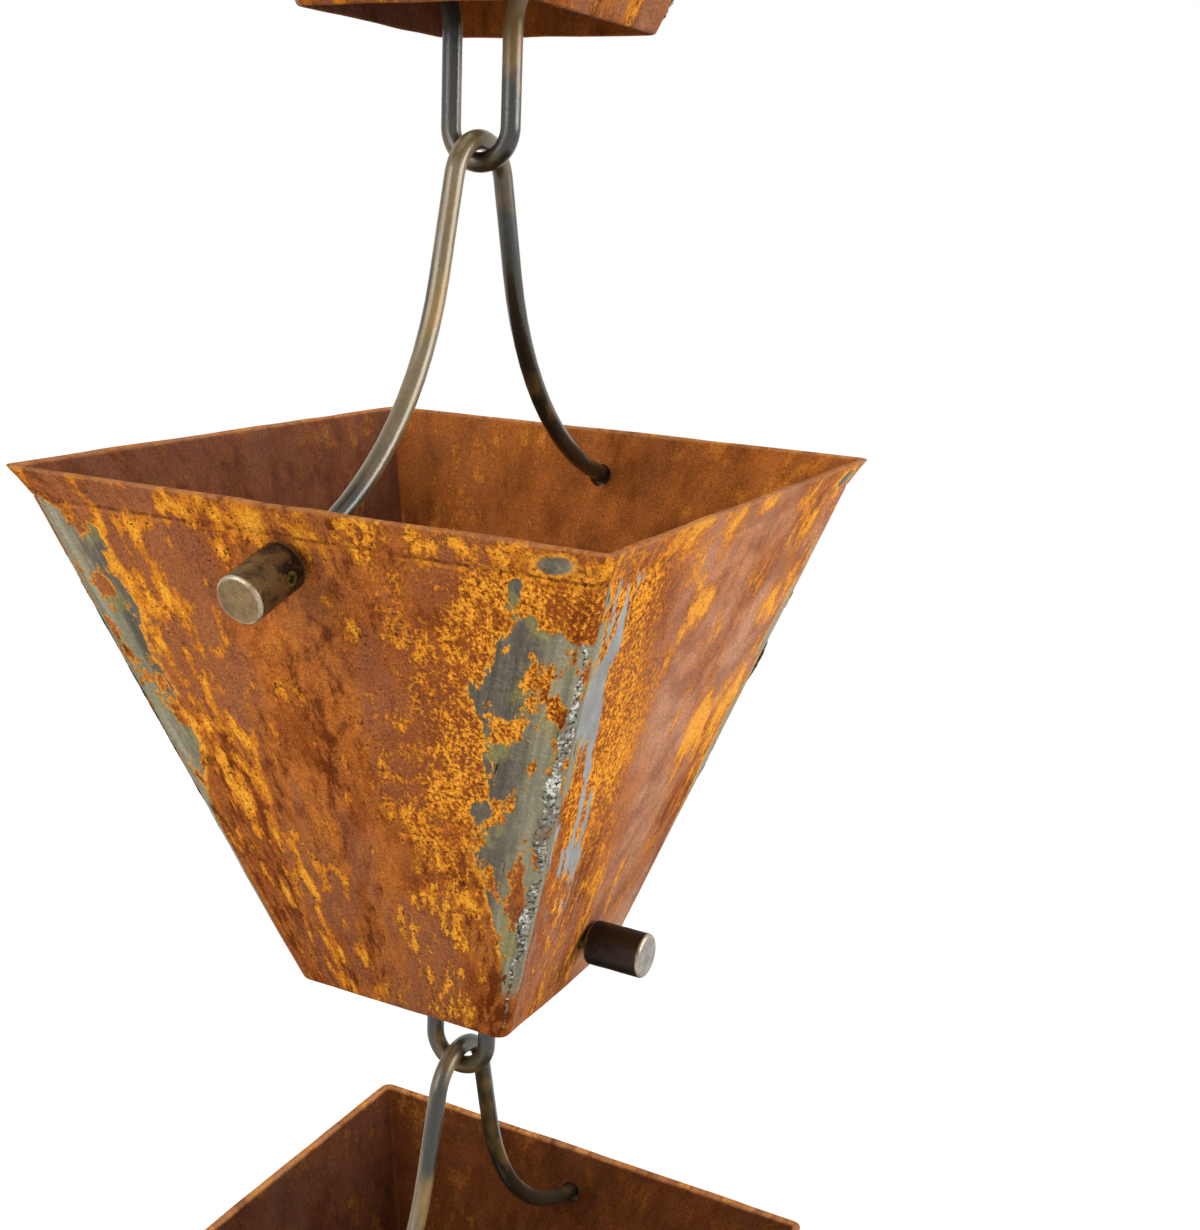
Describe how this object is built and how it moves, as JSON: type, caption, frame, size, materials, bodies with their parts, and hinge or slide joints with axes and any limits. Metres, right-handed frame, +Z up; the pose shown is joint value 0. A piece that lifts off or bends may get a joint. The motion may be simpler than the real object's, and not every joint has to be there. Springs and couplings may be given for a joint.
{
  "type": "rain chain",
  "caption": "Rain chain of tapered open square cups in rusted sheet steel, hung one below another on bent rod hangers and U links with barrel caps; leads roof water down.",
  "frame": {"origin": "the point inside the top ring where a hook bears", "axes": "+Z up along the hanging chain, X along the link ends, Y along the hanger ends"},
  "size_m": [0.13, 0.1504, 1.0315],
  "materials": {
    "rusted_sheet_steel": "matt rust with bright orange scale and bare grey weld strips at the corners",
    "bent_steel_rod": "dark drawn rod with a thin brown bloom",
    "turned_steel_cap": "sawn and turned bar, dark brown with a worn edge",
    "plated_set_screw": "yellow plated, dulled by weather"
  },
  "bodies": {
    "top_ring": {"top_ring": "bent_steel_rod"},
    "hanger_1": {"hanger_rod_1": "bent_steel_rod", "hanger_cap_front_1": "turned_steel_cap", "hanger_cap_back_1": "turned_steel_cap", "hanger_screw_front_1": "plated_set_screw", "hanger_screw_back_1": "plated_set_screw"},
    "cup_1": {"cup_1": "rusted_sheet_steel"},
    "link_1": {"link_rod_1": "bent_steel_rod", "link_cap_left_1": "turned_steel_cap", "link_cap_right_1": "turned_steel_cap", "link_screw_left_1": "plated_set_screw", "link_screw_right_1": "plated_set_screw"},
    "hanger_2": {"hanger_rod_2": "bent_steel_rod", "hanger_cap_front_2": "turned_steel_cap", "hanger_cap_back_2": "turned_steel_cap", "hanger_screw_front_2": "plated_set_screw", "hanger_screw_back_2": "plated_set_screw"},
    "cup_2": {"cup_2": "rusted_sheet_steel"},
    "link_2": {"link_rod_2": "bent_steel_rod", "link_cap_left_2": "turned_steel_cap", "link_cap_right_2": "turned_steel_cap", "link_screw_left_2": "plated_set_screw", "link_screw_right_2": "plated_set_screw"},
    "hanger_3": {"hanger_rod_3": "bent_steel_rod", "hanger_cap_front_3": "turned_steel_cap", "hanger_cap_back_3": "turned_steel_cap", "hanger_screw_front_3": "plated_set_screw", "hanger_screw_back_3": "plated_set_screw"},
    "cup_3": {"cup_3": "rusted_sheet_steel"},
    "link_3": {"link_rod_3": "bent_steel_rod", "link_cap_left_3": "turned_steel_cap", "link_cap_right_3": "turned_steel_cap", "link_screw_left_3": "plated_set_screw", "link_screw_right_3": "plated_set_screw"},
    "hanger_4": {"hanger_rod_4": "bent_steel_rod", "hanger_cap_front_4": "turned_steel_cap", "hanger_cap_back_4": "turned_steel_cap", "hanger_screw_front_4": "plated_set_screw", "hanger_screw_back_4": "plated_set_screw"},
    "cup_4": {"cup_4": "rusted_sheet_steel"},
    "link_4": {"link_rod_4": "bent_steel_rod", "link_cap_left_4": "turned_steel_cap", "link_cap_right_4": "turned_steel_cap", "link_screw_left_4": "plated_set_screw", "link_screw_right_4": "plated_set_screw"},
    "hanger_5": {"hanger_rod_5": "bent_steel_rod", "hanger_cap_front_5": "turned_steel_cap", "hanger_cap_back_5": "turned_steel_cap", "hanger_screw_front_5": "plated_set_screw", "hanger_screw_back_5": "plated_set_screw"},
    "cup_5": {"cup_5": "rusted_sheet_steel"},
    "link_5": {"link_rod_5": "bent_steel_rod", "link_cap_left_5": "turned_steel_cap", "link_cap_right_5": "turned_steel_cap", "link_screw_left_5": "plated_set_screw", "link_screw_right_5": "plated_set_screw"}
  },
  "joints": [
    {"name": "hanger_1_swing", "type": "hinge", "parent": "top_ring", "child": "hanger_1", "pos_m": [0, 0, -0.036], "axis": [1, 0, 0], "range_deg": [-90, 90]},
    {"name": "cup_1_tilt", "type": "hinge", "parent": "hanger_1", "child": "cup_1", "pos_m": [0, 0, -0.10524], "axis": [0, 1, 0], "range_deg": [-50, 50]},
    {"name": "link_1_swing", "type": "hinge", "parent": "cup_1", "child": "link_1", "pos_m": [0, 0, -0.1949], "axis": [-1, 0, 0], "range_deg": [-55, 55]},
    {"name": "hanger_2_swing", "type": "hinge", "parent": "link_1", "child": "hanger_2", "pos_m": [0, 0, -0.2339], "axis": [1, 0, 0], "range_deg": [-90, 90]},
    {"name": "cup_2_tilt", "type": "hinge", "parent": "hanger_2", "child": "cup_2", "pos_m": [0, 0, -0.30314], "axis": [0, -1, 0], "range_deg": [-50, 50]},
    {"name": "link_2_swing", "type": "hinge", "parent": "cup_2", "child": "link_2", "pos_m": [0, 0, -0.3928], "axis": [-1, 0, 0], "range_deg": [-55, 55]},
    {"name": "hanger_3_swing", "type": "hinge", "parent": "link_2", "child": "hanger_3", "pos_m": [0, 0, -0.4318], "axis": [1, 0, 0], "range_deg": [-90, 90]},
    {"name": "cup_3_tilt", "type": "hinge", "parent": "hanger_3", "child": "cup_3", "pos_m": [0, 0, -0.50104], "axis": [0, 1, 0], "range_deg": [-50, 50]},
    {"name": "link_3_swing", "type": "hinge", "parent": "cup_3", "child": "link_3", "pos_m": [0, 0, -0.5907], "axis": [-1, 0, 0], "range_deg": [-55, 55]},
    {"name": "hanger_4_swing", "type": "hinge", "parent": "link_3", "child": "hanger_4", "pos_m": [0, 0, -0.6297], "axis": [1, 0, 0], "range_deg": [-90, 90]},
    {"name": "cup_4_tilt", "type": "hinge", "parent": "hanger_4", "child": "cup_4", "pos_m": [0, 0, -0.69894], "axis": [0, -1, 0], "range_deg": [-50, 50]},
    {"name": "link_4_swing", "type": "hinge", "parent": "cup_4", "child": "link_4", "pos_m": [0, 0, -0.7886], "axis": [-1, 0, 0], "range_deg": [-55, 55]},
    {"name": "hanger_5_swing", "type": "hinge", "parent": "link_4", "child": "hanger_5", "pos_m": [0, 0, -0.8276], "axis": [1, 0, 0], "range_deg": [-90, 90]},
    {"name": "cup_5_tilt", "type": "hinge", "parent": "hanger_5", "child": "cup_5", "pos_m": [0, 0, -0.89684], "axis": [0, 1, 0], "range_deg": [-50, 50]},
    {"name": "link_5_swing", "type": "hinge", "parent": "cup_5", "child": "link_5", "pos_m": [0, 0, -0.9865], "axis": [-1, 0, 0], "range_deg": [-55, 55]}
  ]
}
